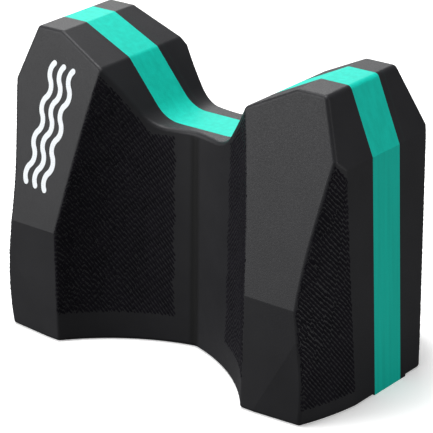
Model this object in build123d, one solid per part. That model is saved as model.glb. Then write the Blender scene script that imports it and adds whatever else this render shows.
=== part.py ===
from build123d import *
import os
from typing import NamedTuple

# Pull buoy: a laminated EVA foam float that a swimmer squeezes between the thighs.
# X runs from lobe to lobe, Y through the laminated layers (-Y is the printed front), Z up.
# The origin is the middle of the flat base. Lengths are millimetres.
# A lean is how far a face moves sideways for each millimetre of height.

# ---- Outline that all layers share, seen along Y --------------------------------------
overall_length = 220.0     # lobe end to lobe end
overall_height = 164.5     # base to the flat crests
end_slope_drop = 34.5      # crest down to the top of the vertical end face
crest_inset = 13.0         # end face back to the crest's outer edge
crest_width = 18.0         # flat top of each lobe
crest_corner_radius = 3.0
shoulder_run = 30.0        # gentle slope from the crest towards the middle
shoulder_drop = 14.0
shoulder_corner_radius = 4.0
saddle_run = 24.0          # steep slope from the shoulder down to the saddle
saddle_drop = 30.0
saddle_radius = 19.0       # hollow where the steep slope meets the saddle floor

# ---- Flat layers and their joints --------------------------------------------------------
sheet_thickness = 22.0     # coloured middle sheet
backing_thickness = 4.0    # thin black sheet behind it
bond_thickness = 0.2       # dried contact adhesive in each joint


# ---- Moulded blocks: depths are measured from the block's own joint face ----------------
class BlockSize(NamedTuple):
    depth: float           # joint face to outer face, at the base
    web_depth: float       # depth at the middle of the waist, at the base
    ridge_depth: float     # width of the flat end face, at the base
    ridge_lean: float      # the end face widens upwards by this much
    facet_run: float       # how far the end facet cuts in along X, low on the block
    facet_bow: float       # how far the end facet bulges from a straight line there
    high_facet_run: float  # the same two higher up, where the outer face slopes back
    high_facet_bow: float
    cut_width: float       # shallow cut at each lobe's outer bottom corner, 0 for none


front_size = BlockSize(depth=52.0, web_depth=13.0, ridge_depth=15.5, ridge_lean=0.039,
                       facet_run=12.3, facet_bow=1.6, high_facet_run=24.0, high_facet_bow=3.5,
                       cut_width=26.5)
rear_size = BlockSize(depth=45.0, web_depth=12.5, ridge_depth=11.8, ridge_lean=0.049,
                      facet_run=28.0, facet_bow=0.6, high_facet_run=28.0, high_facet_bow=0.6,
                      cut_width=0.0)
facet_turn_low = 50.0      # the end facet changes from its low to its high form between
facet_turn_high = 100.0    # these heights
lower_face_lean = 0.066    # outer face, from the base up to the crease
crease_height = 62.0       # where the outer face starts to slope back
upper_face_lean = 0.2875
lobe_face_width = 46.0     # outer face of a lobe at the base, from the end face inwards
lobe_face_taper = 0.022    # that width shrinks by this much for each millimetre up
waist_lean = 0.066
waist_valley_radius = 8.0
thigh_hollow_base = 5.8    # how far a thigh face is hollowed from a straight line
thigh_hollow_top = 8.8
corner_cut_height = 44.0
corner_cut_depth = 2.0
block_edge_radius = 2.2    # moulded round on every edge away from the joint face

# ---- Printed mark: plain wavy lines that run up the sloping front of the left lobe --------
mark_line_count = 3
mark_line_pitch = 7.0
mark_line_width = 3.2
mark_wave_length = 19.0
mark_wave_height = 3.4
mark_half_waves = 7
mark_film = 0.12           # thickness of the ink
mark_middle_x = 79.0       # middle of the mark from the buoy's centre
mark_middle_z = 115.0
mark_tilt = 8.0            # degrees that the lines lean towards the waist

OVERSHOOT = 5.0            # how far a cutting solid reaches past what it cuts
TOUCH = 0.01               # nearer than this, an edge lies on the joint face

half_length = overall_length / 2
total_depth = (front_size.depth + rear_size.depth + sheet_thickness
               + backing_thickness + 3 * bond_thickness)
front_joint_y = -total_depth / 2 + front_size.depth
sheet_front_y = front_joint_y + bond_thickness
backing_front_y = sheet_front_y + sheet_thickness + bond_thickness
rear_joint_y = backing_front_y + backing_thickness + bond_thickness


def side_outline():
    """The outline that every layer shares, as a face in the XZ plane."""
    end_top = overall_height - end_slope_drop
    crest_outer = half_length - crest_inset
    crest_inner = crest_outer - crest_width
    shoulder_x = crest_inner - shoulder_run
    shoulder_z = overall_height - shoulder_drop
    saddle_x = shoulder_x - saddle_run
    saddle_z = shoulder_z - saddle_drop
    rounded = {
        (crest_outer, overall_height): crest_corner_radius,
        (crest_inner, overall_height): crest_corner_radius,
        (shoulder_x, shoulder_z): shoulder_corner_radius,
        (saddle_x, saddle_z): saddle_radius,
    }
    with BuildSketch(Plane.XZ) as outline:
        with BuildLine():
            Polyline((0, saddle_z), (0, 0), (half_length, 0), (half_length, end_top),
                     *rounded, close=True)
        make_face()
        for corner, radius in rounded.items():
            fillet(outline.vertices().sort_by_distance((*corner, 0))[0], radius)
        mirror(about=Plane.YZ)
    return outline.sketch


def layer(front_y, thickness):
    """A flat layer with the shared outline, from front_y towards the rear."""
    slab = extrude(side_outline(), amount=-thickness)
    return Pos(0, front_y, 0) * slab


def bowed(start, end, bow):
    """An arc from start to end whose middle lies bow to the left of the straight line."""
    chord = Vector(end) - Vector(start)
    to_left = Vector(-chord.Y, chord.X).normalized()
    return ThreePointArc(start, (Vector(start) + Vector(end)) * 0.5 + to_left * bow, end)


def run_on(curve, at, depth):
    """The point at one depth on the tangent that carries a curve on past one of its ends."""
    foot = curve @ at
    along = curve % at
    return foot + along * ((depth - foot.Y) / along.Y)


def waist_section(height, size):
    """The hourglass of one block at one height: a web between two hollow thigh faces."""
    far = size.depth + OVERSHOOT
    side = half_length + OVERSHOOT
    rise = height / overall_height
    hollow = thigh_hollow_base + (thigh_hollow_top - thigh_hollow_base) * rise
    middle = (0, size.web_depth - waist_lean * height)
    corner = (half_length - lobe_face_width + lobe_face_taper * height,
              size.depth - lower_face_lean * height)
    with BuildSketch(Plane.XY.offset(height)) as section:
        with BuildLine():
            thigh = bowed(middle, corner, -hollow)
            Polyline(corner, run_on(thigh, 1, far), (side, far), (side, -OVERSHOOT),
                     (0, -OVERSHOOT), middle)
        make_face()
        mirror(about=Plane.YZ)
        fillet(section.vertices().sort_by_distance((*middle, 0))[0], waist_valley_radius)
    return section.sketch


def end_section(height, size):
    """The plan of one block's two bowed end facets at one height."""
    far = size.depth + OVERSHOOT
    is_high = height > facet_turn_low
    run = size.high_facet_run if is_high else size.facet_run
    bow = size.high_facet_bow if is_high else size.facet_bow
    ridge = (half_length, size.ridge_depth + size.ridge_lean * height)
    facet_end = (half_length - run, size.depth)
    with BuildSketch(Plane.XY.offset(height)) as section:
        with BuildLine():
            facet = bowed(ridge, facet_end, -bow)
            Polyline(facet_end, run_on(facet, 1, far), (0, far), (0, -OVERSHOOT),
                     run_on(facet, 0, -OVERSHOOT), ridge)
        make_face()
        mirror(about=Plane.YZ)
    return section.sketch


def face_depth(height, size):
    """How deep a block is at its outer face, at one height."""
    below_crease = min(height, crease_height)
    above_crease = max(height - crease_height, 0)
    return size.depth - lower_face_lean * below_crease - upper_face_lean * above_crease


def corner_cut_plane(size, side):
    """The plane of the shallow cut at a lobe's outer bottom corner, facing out of the block."""
    outer_x = half_length - size.facet_run
    foot = Vector(side * outer_x, size.depth - corner_cut_depth, 0)
    top = Vector(side * outer_x, face_depth(corner_cut_height, size), corner_cut_height)
    inner = Vector(side * (outer_x - size.cut_width), size.depth, 0)
    outwards = (inner - foot).cross(top - foot) * side
    return Plane(origin=foot, x_dir=top - foot, z_dir=outwards)


def block(size):
    """One moulded block, standing on its base with its joint face on Y = 0, outwards +Y."""
    over = overall_height + OVERSHOOT
    body = extrude(side_outline(), amount=-size.depth - OVERSHOOT)
    body &= loft([waist_section(height, size) for height in (-OVERSHOOT, over)], ruled=True)
    if size.high_facet_run == size.facet_run:
        body &= loft([end_section(height, size) for height in (-OVERSHOOT, over)], ruled=True)
    else:
        heights = (-OVERSHOOT, facet_turn_low, facet_turn_high, over)
        body &= loft([end_section(height, size) for height in heights])
    lowest = size.depth + lower_face_lean * OVERSHOOT
    outer_face = Polyline(
        (0, -OVERSHOOT), (lowest, -OVERSHOOT), (face_depth(crease_height, size), crease_height),
        (face_depth(over, size), over), (0, over), close=True)
    body &= extrude(Plane.YZ * make_face(outer_face), amount=half_length + OVERSHOOT, both=True)
    if size.cut_width:
        for side in (-1, 1):
            body = split(body, bisect_by=corner_cut_plane(size, side), keep=Keep.BOTTOM)
    free_edges = body.edges().filter_by(lambda edge: edge.bounding_box().max.Y > TOUCH)
    return fillet(free_edges, block_edge_radius)


def mark():
    """Wavy ink lines on the sloping outer face of the lobe at -X, in the block's place."""
    face = Plane(
        origin=(-mark_middle_x, face_depth(mark_middle_z, front_size), mark_middle_z),
        x_dir=(1, 0, 0), z_dir=(0, 1, upper_face_lean))
    quarter = mark_wave_length / 4
    start = -mark_half_waves * quarter
    waves = Sketch()
    for line in range(mark_line_count):
        across = (line - (mark_line_count - 1) / 2) * mark_line_pitch
        humps = Curve()
        for hump in range(mark_half_waves):
            low = (across, start + 2 * hump * quarter)
            high = (across, start + 2 * (hump + 1) * quarter)
            humps += bowed(low, high, (-1) ** hump * mark_wave_height / 2)
        waves += make_face(offset(humps.wire(), mark_line_width / 2, side=Side.BOTH))
    return extrude(face * Rot(0, 0, mark_tilt) * waves, amount=mark_film)


def to_front(shape):
    """Turns a shape made outwards along +Y into its place on the front of the buoy."""
    return Pos(0, front_joint_y, 0) * mirror(shape, about=Plane.XZ)


pieces = {
    "front_float_block": to_front(block(front_size)),
    "front_bond_film": layer(front_joint_y, bond_thickness),
    "coloured_centre_sheet": layer(sheet_front_y, sheet_thickness),
    "centre_bond_film": layer(sheet_front_y + sheet_thickness, bond_thickness),
    "rear_backing_sheet": layer(backing_front_y, backing_thickness),
    "rear_bond_film": layer(backing_front_y + backing_thickness, bond_thickness),
    "rear_float_block": Pos(0, rear_joint_y, 0) * block(rear_size),
    "printed_wave_mark": to_front(mark()),
}

os.makedirs("parts", exist_ok=True)
for name, piece in pieces.items():
    export_step(piece, f"parts/{name}.step")
    print(f"{name}: {len(piece.solids())} solids, {piece.volume / 1000:.1f} cm3")
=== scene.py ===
# %% [markdown]
# # A laminated pull buoy
# A swimmer squeezes this float between the thighs, so that the legs stay up while the arms
# work. It is a sandwich of EVA foam: two moulded charcoal blocks, a turquoise sheet and a thin
# black sheet between them, all glued face to face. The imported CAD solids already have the
# right shape and rounds, so they stay. What they lack is the skin: the moulded grip ribs on
# the thigh faces and end facets, and the finish of each foam. Those are made here.

# %% Load the fixed frame
import math

import bpy
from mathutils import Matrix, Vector


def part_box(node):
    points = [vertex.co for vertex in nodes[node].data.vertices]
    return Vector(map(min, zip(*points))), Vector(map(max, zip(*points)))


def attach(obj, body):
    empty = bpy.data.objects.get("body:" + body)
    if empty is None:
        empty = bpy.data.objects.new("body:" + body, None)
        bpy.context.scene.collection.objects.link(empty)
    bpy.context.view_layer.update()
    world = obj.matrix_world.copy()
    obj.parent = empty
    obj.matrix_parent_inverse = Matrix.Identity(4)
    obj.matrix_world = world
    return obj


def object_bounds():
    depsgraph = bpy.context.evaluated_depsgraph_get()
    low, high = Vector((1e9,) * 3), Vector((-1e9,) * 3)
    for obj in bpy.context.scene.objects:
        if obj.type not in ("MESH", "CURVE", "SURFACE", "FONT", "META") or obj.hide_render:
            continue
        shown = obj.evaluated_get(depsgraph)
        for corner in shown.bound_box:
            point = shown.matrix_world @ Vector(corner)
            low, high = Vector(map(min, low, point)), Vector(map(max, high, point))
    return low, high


MM = 0.001
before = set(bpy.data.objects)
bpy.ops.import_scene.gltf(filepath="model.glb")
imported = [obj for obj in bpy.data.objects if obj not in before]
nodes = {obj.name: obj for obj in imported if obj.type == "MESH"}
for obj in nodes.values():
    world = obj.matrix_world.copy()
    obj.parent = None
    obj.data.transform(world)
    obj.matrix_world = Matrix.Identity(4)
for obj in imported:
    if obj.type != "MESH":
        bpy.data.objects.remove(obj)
cad_box = [list(map(float, corner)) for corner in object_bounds()]
size = [high - low for low, high in zip(*cad_box)]
print("CAD nodes:", ", ".join(sorted(nodes)))
print("CAD size in mm:", [round(length / MM, 1) for length in size])

# %% [markdown]
# ## Camera
# A long lens from the right and a little above shows the printed front, the saddle and one
# end. A long lens also keeps the two lobes nearly the same size. The camera looks at a point
# near the middle of the buoy, and rolls slightly, as one held by hand does.

# %% Place the camera
camera_azimuth = math.radians(41.26)
camera_elevation = math.radians(23.02)
camera_roll = math.radians(-2.22)
camera_distance = 1161.9 * MM
camera_aim = Vector((2.36, -3.73, 70.1)) * MM
lens_mm = 182.9
sensor_width_mm = 36
far_clip = 20.0            # metres: past the far edge of the floor

away = Vector((math.sin(camera_azimuth) * math.cos(camera_elevation),
               -math.cos(camera_azimuth) * math.cos(camera_elevation),
               math.sin(camera_elevation)))
bpy.ops.object.select_all(action="DESELECT")
bpy.ops.object.camera_add(location=camera_aim + away * camera_distance)
camera = bpy.context.object
camera.name = "camera"
camera.rotation_euler = away.to_track_quat("Z", "Y").to_euler()
camera.rotation_euler.rotate_axis("Z", camera_roll)
camera.data.lens = lens_mm
camera.data.sensor_width = sensor_width_mm
camera.data.clip_end = far_clip
bpy.context.scene.camera = camera
print("Camera at", [round(value / MM) for value in camera.location], "mm")

# %% [markdown]
# ## One way to write colours and nodes
# Colours are written as sRGB hex values, as a paint or screen sample gives them, and one
# function turns them to the linear values that shaders use. One more function adds a node
# with its settings and its links, so that each material reads as a list of steps.

# %% Colour and node helpers
def linear(hex_colour):
    """The linear colour of an sRGB hex value such as "2b2b2e"."""
    channels = [int(hex_colour[at:at + 2], 16) / 255 for at in (0, 2, 4)]
    return [c / 12.92 if c <= 0.04045 else ((c + 0.055) / 1.055) ** 2.4
            for c in channels] + [1.0]


def add(tree, kind, inputs=None, **settings):
    """Adds a node; inputs maps a socket's name or number to a value or an output socket."""
    made = tree.nodes.new("ShaderNode" + kind)
    for name, value in settings.items():
        setattr(made, name, value)
    for socket, source in (inputs or {}).items():
        if isinstance(source, bpy.types.NodeSocket):
            tree.links.new(source, made.inputs[socket])
        else:
            made.inputs[socket].default_value = source
    return made


def new_material(name):
    """An empty node material, with its node tree and its output node."""
    material = bpy.data.materials.new(name)
    material.use_nodes = True
    material.node_tree.nodes.clear()
    return material, material.node_tree, add(material.node_tree, "OutputMaterial")


def per_mm(feature_mm):
    """The scale of a noise or cell pattern whose features are this many millimetres wide."""
    return 1 / (feature_mm * MM)


print("Mid grey #808080 is", round(linear("808080")[0], 3), "linear")

# %% [markdown]
# ## Charcoal EVA foam with a moulded skin
# The blocks are compression-moulded: the hot foam takes the grain of the tool and closes to a
# satin skin. That gives a dark grey with a soft, wide highlight, a very fine pebble, slight
# cloudy changes of shade where the skin is thicker, and a few tiny pits. Down the crease in the
# waist's middle the colour is darkened: that is painted shade.

# %% Moulded charcoal foam
skin_grain_mm = 0.7        # finer in life: drawn this coarse so that it shows
skin_cloud_mm = 26
skin_pit_mm = 2.6
skin_relief_mm = 0.12      # height of the grain in the bump
pit_reach = 0.12           # how far a pit reaches into its cell
pit_strength = 0.8         # depth of a pit, against the grain's height
valley_core_mm = 0.8       # painted shade, for the shade that falls in the crease down the waist's middle, is darkest inside the core and ends at this distance from the middle
valley_half_mm = 4.5       # darkest inside the core and ends at this distance from the middle
valley_shade = 0.05        # share of the foam's own colour that the painted shade leaves in the core
valley_fade_low_mm = 116   # the painted shade fades out between these heights, under the saddle
valley_fade_top_mm = 119

moulded_eva, tree, output = new_material("charcoal_moulded_eva")
place = add(tree, "TexCoord").outputs["Object"]
clouds = add(tree, "TexNoise", {"Vector": place, "Scale": per_mm(skin_cloud_mm), "Detail": 4.0,
                                "Roughness": 0.55})
shade = add(tree, "ValToRGB", {"Fac": clouds.outputs["Fac"]})
shade.color_ramp.elements[0].position, shade.color_ramp.elements[1].position = 0.35, 0.68
shade.color_ramp.elements[0].color = linear("1c1c1f")
shade.color_ramp.elements[1].color = linear("222225")
axes = add(tree, "SeparateXYZ", {"Vector": place})
# Painted shade: the colour is darkened in a narrow band down the crease at the waist's middle, and
# the band fades out under the saddle.
from_valley = add(tree, "Math", {0: axes.outputs["X"]}, operation="ABSOLUTE")
painted_crease_shade = add(tree, "MapRange", {"Value": from_valley.outputs["Value"],
                                   "From Min": valley_core_mm * MM,
                                   "From Max": valley_half_mm * MM,
                                   "To Min": valley_shade, "To Max": 1.0},
                interpolation_type="SMOOTHSTEP")
under_saddle = add(tree, "MapRange", {"Value": axes.outputs["Z"],
                                      "From Min": valley_fade_low_mm * MM,
                                      "From Max": valley_fade_top_mm * MM,
                                      "To Min": 0.0, "To Max": 1.0})
clear = add(tree, "Math", {0: painted_crease_shade.outputs["Result"], 1: under_saddle.outputs["Result"]},
            operation="MAXIMUM")
skin_colour = add(tree, "VectorMath", {0: shade.outputs["Color"], "Scale": clear.outputs["Value"]},
                  operation="SCALE")
grain = add(tree, "TexNoise", {"Vector": place, "Scale": per_mm(skin_grain_mm), "Detail": 2.0})
pits = add(tree, "TexVoronoi", {"Vector": place, "Scale": per_mm(skin_pit_mm)})
pit_depth = add(tree, "MapRange", {"Value": pits.outputs["Distance"], "From Min": 0.0,
                                   "From Max": pit_reach, "To Min": -pit_strength,
                                   "To Max": 0.0})
relief = add(tree, "Math", {0: grain.outputs["Fac"], 1: pit_depth.outputs["Result"]},
             operation="ADD")
bump = add(tree, "Bump", {"Height": relief.outputs["Value"], "Strength": 0.35,
                          "Distance": skin_relief_mm * MM})
gloss = add(tree, "MapRange", {"Value": grain.outputs["Fac"], "From Min": 0.3,
                               "From Max": 0.7, "To Min": 0.46, "To Max": 0.58})
surface = add(tree, "BsdfPrincipled", {"Base Color": skin_colour.outputs["Vector"],
                                       "Roughness": gloss.outputs["Result"], "IOR": 1.49,
                                       "Specular IOR Level": 0.35,
                                       "Normal": bump.outputs["Normal"]})
tree.links.new(surface.outputs["BSDF"], output.inputs["Surface"])
print("Made", moulded_eva.name)

# %% [markdown]
# ## Charcoal EVA foam with grip ribs
# Where the thighs press, and on the end facets, the tool is cut with fine diagonal ribs. The
# same foam looks almost black there, because light is lost between the ribs, and it has a
# faint violet cast. The ribs themselves are modelled. This finish adds the fine grain, the
# violet cast, and a darker colour that is painted shade for the light lost between the ribs.

# %% Ribbed charcoal foam
rib_grain_mm = 0.6
rib_patch_mm = 9           # slow changes of shade
rib_relief_mm = 0.15

ribbed_eva, tree, output = new_material("charcoal_ribbed_eva")
place = add(tree, "TexCoord").outputs["Object"]
patches = add(tree, "TexNoise", {"Vector": place, "Scale": per_mm(rib_patch_mm),
                                 "Detail": 3.0})
shade = add(tree, "ValToRGB", {"Fac": patches.outputs["Fac"]})
shade.color_ramp.elements[0].position, shade.color_ramp.elements[1].position = 0.3, 0.7
# Painted shade: both colours are darker than the plain skin's, for the light lost between the
# ribs; the violet cast is the foam's own.
shade.color_ramp.elements[0].color = linear("121116")
shade.color_ramp.elements[1].color = linear("1a181e")
grain = add(tree, "TexNoise", {"Vector": place, "Scale": per_mm(rib_grain_mm), "Detail": 2.0})
bump = add(tree, "Bump", {"Height": grain.outputs["Fac"], "Strength": 0.4,
                          "Distance": rib_relief_mm * MM})
surface = add(tree, "BsdfPrincipled", {"Base Color": shade.outputs["Color"], "IOR": 1.49,
                                       "Roughness": 0.75, "Specular IOR Level": 0.08,
                                       "Normal": bump.outputs["Normal"]})
tree.links.new(surface.outputs["BSDF"], output.inputs["Surface"])
print("Made", ribbed_eva.name)

# %% [markdown]
# ## Turquoise EVA foam with sawn edges
# The middle sheet is cut from a slab, so its edges have no skin. They are matte and fully
# coloured, with fine open cells, and faint streaks that run up the cut.

# %% Sawn turquoise foam
cell_mm = 0.9              # finer in life: drawn this coarse so that it shows
streak_width_mm = 3.0
streak_length_mm = 90.0
cell_share = 0.12          # how much the cells change the streaks' shade
cell_relief_mm = 0.15

sawn_eva, tree, output = new_material("turquoise_sawn_eva")
place = add(tree, "TexCoord").outputs["Object"]
along_cut = add(tree, "Mapping", {"Vector": place,
                                  "Scale": (1, 1, streak_width_mm / streak_length_mm)})
streaks = add(tree, "TexNoise", {"Vector": along_cut.outputs["Vector"],
                                 "Scale": per_mm(streak_width_mm), "Detail": 3.0})
cells = add(tree, "TexVoronoi", {"Vector": place, "Scale": per_mm(cell_mm)})
mixed = add(tree, "Math", {0: cells.outputs["Distance"], 1: cell_share,
                           2: streaks.outputs["Fac"]}, operation="MULTIPLY_ADD")
shade = add(tree, "ValToRGB", {"Fac": mixed.outputs["Value"]})
shade.color_ramp.elements[0].position, shade.color_ramp.elements[1].position = 0.35, 0.75
shade.color_ramp.elements[0].color = linear("00c0ac")
shade.color_ramp.elements[1].color = linear("04cdb9")
bump = add(tree, "Bump", {"Height": cells.outputs["Distance"], "Strength": 0.25,
                          "Distance": cell_relief_mm * MM})
surface = add(tree, "BsdfPrincipled", {"Base Color": shade.outputs["Color"], "IOR": 1.45,
                                       "Roughness": 0.6, "Specular IOR Level": 0.3,
                                       "Normal": bump.outputs["Normal"]})
tree.links.new(surface.outputs["BSDF"], output.inputs["Surface"])
print("Made", sawn_eva.name)

# %% [markdown]
# ## Glue lines and ink
# Contact adhesive dries to a dark, dull film that shows as a hairline in each joint, with
# slow smears where it was brushed on. The print is a thin screen-printed ink: pale, flat, and
# slightly broken by the foam's grain below it, so it takes the same grain size.

# %% Dried contact adhesive
glue_smear_mm = 4

dried_glue, tree, output = new_material("dried_contact_adhesive")
place = add(tree, "TexCoord").outputs["Object"]
smears = add(tree, "TexNoise", {"Vector": place, "Scale": per_mm(glue_smear_mm), "Detail": 3.0})
shade = add(tree, "ValToRGB", {"Fac": smears.outputs["Fac"]})
shade.color_ramp.elements[0].color = linear("0d1f1f")
shade.color_ramp.elements[1].color = linear("1c3a38")
surface = add(tree, "BsdfPrincipled", {"Base Color": shade.outputs["Color"], "IOR": 1.5,
                                       "Roughness": 0.75})
tree.links.new(surface.outputs["BSDF"], output.inputs["Surface"])
print("Made", dried_glue.name)

# %% Screen-print ink
ink_relief_mm = 0.1

print_ink, tree, output = new_material("pale_screen_ink")
place = add(tree, "TexCoord").outputs["Object"]
grain = add(tree, "TexNoise", {"Vector": place, "Scale": per_mm(skin_grain_mm), "Detail": 2.0})
shade = add(tree, "ValToRGB", {"Fac": grain.outputs["Fac"]})
shade.color_ramp.elements[0].position, shade.color_ramp.elements[1].position = 0.2, 0.5
shade.color_ramp.elements[0].color = linear("dbe3ea")
shade.color_ramp.elements[1].color = linear("f3f7fa")
bump = add(tree, "Bump", {"Height": grain.outputs["Fac"], "Strength": 0.3,
                          "Distance": ink_relief_mm * MM})
surface = add(tree, "BsdfPrincipled", {"Base Color": shade.outputs["Color"], "IOR": 1.5,
                                       "Roughness": 0.5, "Normal": bump.outputs["Normal"]})
tree.links.new(surface.outputs["BSDF"], output.inputs["Surface"])
print("Made", print_ink.name)

# %% [markdown]
# ## A finish for each layer
# The two blocks and the thin black sheet are the same foam, and the three joints hold the same
# glue. The CAD nodes keep their meshes, so only the material in their slots changes, and one
# list of layers and finishes shows the whole sandwich at a glance.

# %% Give each layer its finish
layer_finish = {
    "front_float_block": moulded_eva,
    "rear_float_block": moulded_eva,
    "rear_backing_sheet": moulded_eva,
    "coloured_centre_sheet": sawn_eva,
    "front_bond_film": dried_glue,
    "centre_bond_film": dried_glue,
    "rear_bond_film": dried_glue,
    "printed_wave_mark": print_ink,
}
for name, finish in layer_finish.items():
    for slot in nodes[name].material_slots:
        slot.material = finish
print("Finished", len(layer_finish), "layers")

# %% [markdown]
# ## Grip ribs
# The ribs are a fraction of a millimetre high, too fine for the CAD solids, so each ribbed
# area is a thin skin of its own. (They could be a bump pattern in the material, but then the
# mesh would be smooth.) A flat grid is laid in front of a block, and each of its points is
# dropped straight onto the foam. Points that land on a plain face, or too near an edge, are
# deleted. The rest are lifted into ribs, and the skin gets a little thickness that sinks into
# the foam, so that no open edge shows.

# %% Sizes of the ribs
rib_pitch_mm = 1.7
rib_height_mm = 0.3
rib_slant = math.radians(-38)
cross_pitch_mm = 3.4       # the ribs swell and shrink along their length
skin_step_mm = 0.45        # spacing of the grid's points
skin_sink_mm = 0.06        # the skin's border lies this far under the foam's face
skin_thickness_mm = 0.5
print("Ribs per centimetre:", round(10 / rib_pitch_mm, 1))

# %% [markdown]
# All eight skins are made the same way, so each step is a function, and an area of ribs only
# says where its grid lies and which points belong to it. The lift is made of two sine waves:
# one across the ribs shapes them, and a weaker one along them makes them swell and shrink. The
# ribs fade out towards an area's border, so that the skin runs into the plain foam.

# %% Shape one ribbed skin
rib_fade_mm = 2.5          # the ribs reach their full height this far inside the border
grid_distance = 0.5        # metres from the buoy's middle to where the grid's points start
least_facing = 0.3         # foam that faces the grid less than this is stretched no further


def rib_lift(across, up):
    """How far a point is lifted, from its distances across and up the face in metres."""
    along_normal = across * math.cos(rib_slant) + up * math.sin(rib_slant)
    along_rib = up * math.cos(rib_slant) - across * math.sin(rib_slant)
    rib = 0.5 + 0.5 * math.sin(math.tau * along_normal / (rib_pitch_mm * MM))
    swell = 0.75 + 0.25 * math.sin(math.tau * along_rib / (cross_pitch_mm * MM))
    return rib * swell * rib_height_mm * MM


def ribbed_skin(name, block, low, high, look_along, belongs):
    """Drops a grid that spans low to high onto a block and lifts it into ribs."""
    axis = max(range(3), key=lambda at: abs(look_along[at]))
    wide = 0 if axis == 1 else 1
    spans = [high[wide] - low[wide], high[2] - low[2]]
    counts = [max(2, round(span / (skin_step_mm * MM))) for span in spans]
    bpy.ops.object.select_all(action="DESELECT")
    bpy.ops.mesh.primitive_grid_add(x_subdivisions=counts[0], y_subdivisions=counts[1], size=1)
    skin = bpy.context.object
    skin.name = name
    unwanted = []
    for vertex in skin.data.vertices:
        start = Vector(low)
        start[wide] = low[wide] + (vertex.co.x + 0.5) * spans[0]
        start[2] = low[2] + (vertex.co.y + 0.5) * spans[1]
        start[axis] = -look_along[axis] * grid_distance
        hit, spot, normal, _ = block.ray_cast(start, look_along)
        margin = belongs(spot, normal) if hit else -1
        if margin < 0:
            unwanted.append(vertex.index)
            continue
        stretch = 1 / max(least_facing, abs(normal[axis]))
        fade = min(1, margin / (rib_fade_mm * MM))
        lift = rib_lift(abs(spot[wide]) * stretch, spot.z) * fade - skin_sink_mm * MM
        vertex.co = spot + normal * lift
    bpy.ops.object.mode_set(mode="EDIT")
    bpy.ops.mesh.select_all(action="DESELECT")
    bpy.ops.object.mode_set(mode="OBJECT")
    for index in unwanted:
        skin.data.vertices[index].select = True
    bpy.ops.object.mode_set(mode="EDIT")
    bpy.ops.mesh.delete(type="VERT")
    bpy.ops.object.mode_set(mode="OBJECT")
    return skin


print("Grid points per square centimetre:", round((10 / skin_step_mm) ** 2))


# %% Give a skin its wall and finish
def finish_skin(skin, look_along):
    """Turns a skin's faces outwards, gives it thickness and its finish."""
    facing = sum(face.normal.dot(look_along) for face in skin.data.polygons)
    if facing > 0:
        bpy.ops.object.mode_set(mode="EDIT")
        bpy.ops.mesh.select_all(action="SELECT")
        bpy.ops.mesh.flip_normals()
        bpy.ops.object.mode_set(mode="OBJECT")
    wall = skin.modifiers.new("wall", "SOLIDIFY")
    wall.thickness = skin_thickness_mm * MM
    wall.offset = -1
    bpy.ops.object.modifier_apply(modifier="wall")
    bpy.ops.object.shade_smooth()
    skin.data.materials.append(ribbed_eva)
    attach(skin, "root")
    print(skin.name, len(skin.data.polygons), "faces")


print("Skin thickness in mm:", skin_thickness_mm)

# %% [markdown]
# The thigh faces are found by how the foam faces there: they turn towards the middle of the
# waist, while the lobes' outer faces look straight forwards or backwards. The ribs stop short
# of the base and of the upper edge, so the height of that edge is worked out first.

# %% Height of the upper edge
upper_outline_mm = [       # distance from the middle and height of each corner
    (0, 120.5), (25, 120.5), (49, 150.5), (79, 164.5), (97, 164.5), (110, 130)]


def outline_height(x):
    """The height of the buoy's upper outline at this distance from its middle."""
    x_mm = abs(x) / MM
    for (x0, z0), (x1, z1) in zip(upper_outline_mm, upper_outline_mm[1:]):
        if x_mm <= x1:
            return (z0 + (z1 - z0) * (x_mm - x0) / (x1 - x0)) * MM
    return upper_outline_mm[-1][1] * MM


print("Upper edge in the middle, in mm:", round(outline_height(0) / MM, 1))

# %% [markdown]
# On each block the ribs start close to the middle on one thigh face, and leave a wider smooth
# band on the other. Their inner border wanders a little, as the tool's texture does.

# %% Ribs on the four thigh faces
flank_low_z = 15 * MM
flank_top_gap = 3 * MM
# Where the ribs start, on the thigh face at the left and at the right, as seen facing a block.
flank_inner_x = {-1: 11 * MM, 1: 30 * MM}
flank_outer_x = 72 * MM
flank_grid_top = 150 * MM
flank_grid_spare = 2 * MM  # the grid starts this much nearer the middle than the ribs
flank_least_turn = 0.15    # a thigh face turns at least this much towards the waist
border_waves_mm = ((0.5, 4.3), (0.4, 1.7))  # width and length of the inner border's waves

block_looks = (("front", 1), ("rear", -1))  # each block, and the way its grids look along Y
lobe_sides = (("left", -1), ("right", 1))


def on_flank(side, inner_x):
    """A test for points on the thigh face at one side: its margin, or -1 off the face."""
    def belongs(spot, normal):
        if -normal.x * side < flank_least_turn:
            return -1
        wander_mm = sum(width * math.sin(spot.z / (length * MM))
                        for width, length in border_waves_mm)
        return min(spot.z - flank_low_z, outline_height(spot.x) - flank_top_gap - spot.z,
                   spot.x * side - inner_x - wander_mm * MM)
    return belongs


for block_name, face_y in block_looks:
    for side_name, side in lobe_sides:
        inner_x = flank_inner_x[side * face_y]
        across = sorted((side * (inner_x - flank_grid_spare), side * flank_outer_x))
        direction = Vector((0, face_y, 0))
        skin = ribbed_skin(f"{block_name}_{side_name}_thigh_ribs",
                           nodes[f"{block_name}_float_block"],
                           Vector((across[0], 0, flank_low_z)),
                           Vector((across[1], 0, flank_grid_top)), direction,
                           on_flank(side, inner_x))
        finish_skin(skin, direction)

# %% [markdown]
# An end facet is the slanted face between a block's outer face and its flat end. It is found by
# how the foam faces too: outwards along X, a little forwards or backwards, and hardly up. Its
# grid looks along X, because that is mostly the way the facet faces.

# %% Ribs on the four end facets
facet_low_z = 8 * MM
facet_top_gap = 2 * MM
facet_grid_top = 136 * MM
facet_least_end_turn = 0.45     # least share of the facing along X
facet_least_outer_turn = 0.14   # least share along Y, away from the joint
facet_most_tilt = 0.3           # most share along Z


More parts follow.
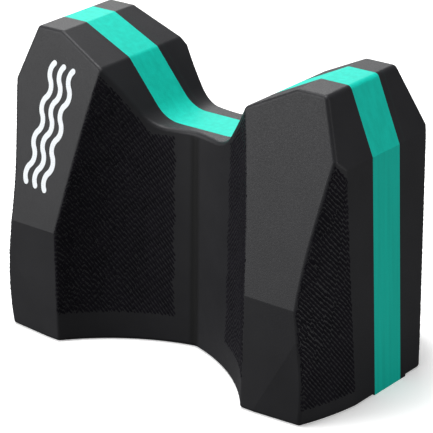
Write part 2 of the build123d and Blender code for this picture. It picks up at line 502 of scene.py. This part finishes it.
def on_facet(side, face_y):
    """A test for points on one end facet: its margin, or -1 off the facet."""
    def belongs(spot, normal):
        if (normal.x * side < facet_least_end_turn or abs(normal.z) > facet_most_tilt
                or -normal.y * face_y < facet_least_outer_turn):
            return -1
        return min(spot.z - facet_low_z, outline_height(spot.x) - spot.z - facet_top_gap)
    return belongs


for block_name, face_y in block_looks:
    low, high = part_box(f"{block_name}_float_block")
    for side_name, side in lobe_sides:
        direction = Vector((-side, 0, 0))
        skin = ribbed_skin(f"{block_name}_{side_name}_facet_ribs",
                           nodes[f"{block_name}_float_block"],
                           Vector((0, low[1], facet_low_z)),
                           Vector((0, high[1], facet_grid_top)), direction,
                           on_facet(side, face_y))
        finish_skin(skin, direction)

# %% [markdown]
# ## Floor and light
# The buoy stands on a white sweep under soft light. One panel overhead and one low at the back
# left make the tops bright, a panel at the front left lights the printed face, and a weak one
# at the right keeps the end from going flat. For the camera the floor adds a little light of
# its own, so that it comes out white and still shows the contact shadow. For the foam it is a
# mid grey, or its bounce would wash out the dark sides.

# %% White floor
floor_size = 12.0
floor_self_light = 0.4

bpy.ops.object.select_all(action="DESELECT")
bpy.ops.mesh.primitive_plane_add(size=floor_size)
floor = bpy.context.object
floor.name = "floor"
floor_paper, tree, output = new_material("white_paper_sweep")
paper = add(tree, "BsdfDiffuse", {"Color": linear("f4f4f4")})
glow = add(tree, "Emission", {"Color": linear("ffffff"), "Strength": floor_self_light})
lit = add(tree, "AddShader", {0: paper.outputs["BSDF"], 1: glow.outputs["Emission"]})
quiet = add(tree, "BsdfDiffuse", {"Color": linear("707070")})
seen = add(tree, "LightPath").outputs["Is Camera Ray"]
choice = add(tree, "MixShader", {"Fac": seen, 1: quiet.outputs["BSDF"], 2: lit.outputs["Shader"]})
tree.links.new(choice.outputs["Shader"], output.inputs["Surface"])
floor.data.materials.append(floor_paper)
print("Floor", floor_size, "m wide")

# %% [markdown]
# The world has two jobs. For the camera it is plain white, like the floor. For the foam it is
# only a weak fill from all round, so that the panels shape the light.

# %% World
room_light = 0.14
backdrop_light = 1.0

world = bpy.data.worlds.new("studio")
bpy.context.scene.world = world
world.use_nodes = True
world.node_tree.nodes.clear()
tree = world.node_tree
room = add(tree, "Background", {"Color": linear("ffffff"), "Strength": room_light})
backdrop = add(tree, "Background", {"Color": linear("ffffff"), "Strength": backdrop_light})
seen = add(tree, "LightPath").outputs["Is Camera Ray"]
choice = add(tree, "MixShader", {"Fac": seen, 1: room.outputs["Background"],
                                 2: backdrop.outputs["Background"]})
add(tree, "OutputWorld", {"Surface": choice.outputs["Shader"]})
print("World light on the foam:", room_light)

# %% [markdown]
# The panels are square area lamps that look at the middle of the buoy. A lamp that is large
# next to the object gives soft shadows and wide, quiet highlights on satin foam.

# %% Lamps
panels = {                 # place and width in metres, and power in watts
    "panel_above": ((-0.25, -0.05, 1.7), 0.9, 30),
    "panel_back_left": ((-1.2, 1.2, 1.0), 0.9, 11),
    "panel_front_left": ((-1.1, -1.4, 0.7), 0.9, 23),
    "panel_right": ((1.7, 0.1, 0.22), 0.4, 8),
}
middle = Vector((0, 0, size[2] / 2))
for name, (place, width, watts) in panels.items():
    bpy.ops.object.select_all(action="DESELECT")
    bpy.ops.object.light_add(type="AREA", location=place)
    lamp = bpy.context.object
    lamp.name = name
    lamp.rotation_euler = (middle - Vector(place)).to_track_quat("-Z", "Y").to_euler()
    lamp.data.size = width
    lamp.data.energy = watts
print("Lamps:", ", ".join(panels))

# %% [markdown]
# ## Colours
# The Standard view shows a colour about as it is written.

# %% Scene colours
bpy.context.scene.view_settings.view_transform = "Standard"
print("View transform:", bpy.context.scene.view_settings.view_transform)
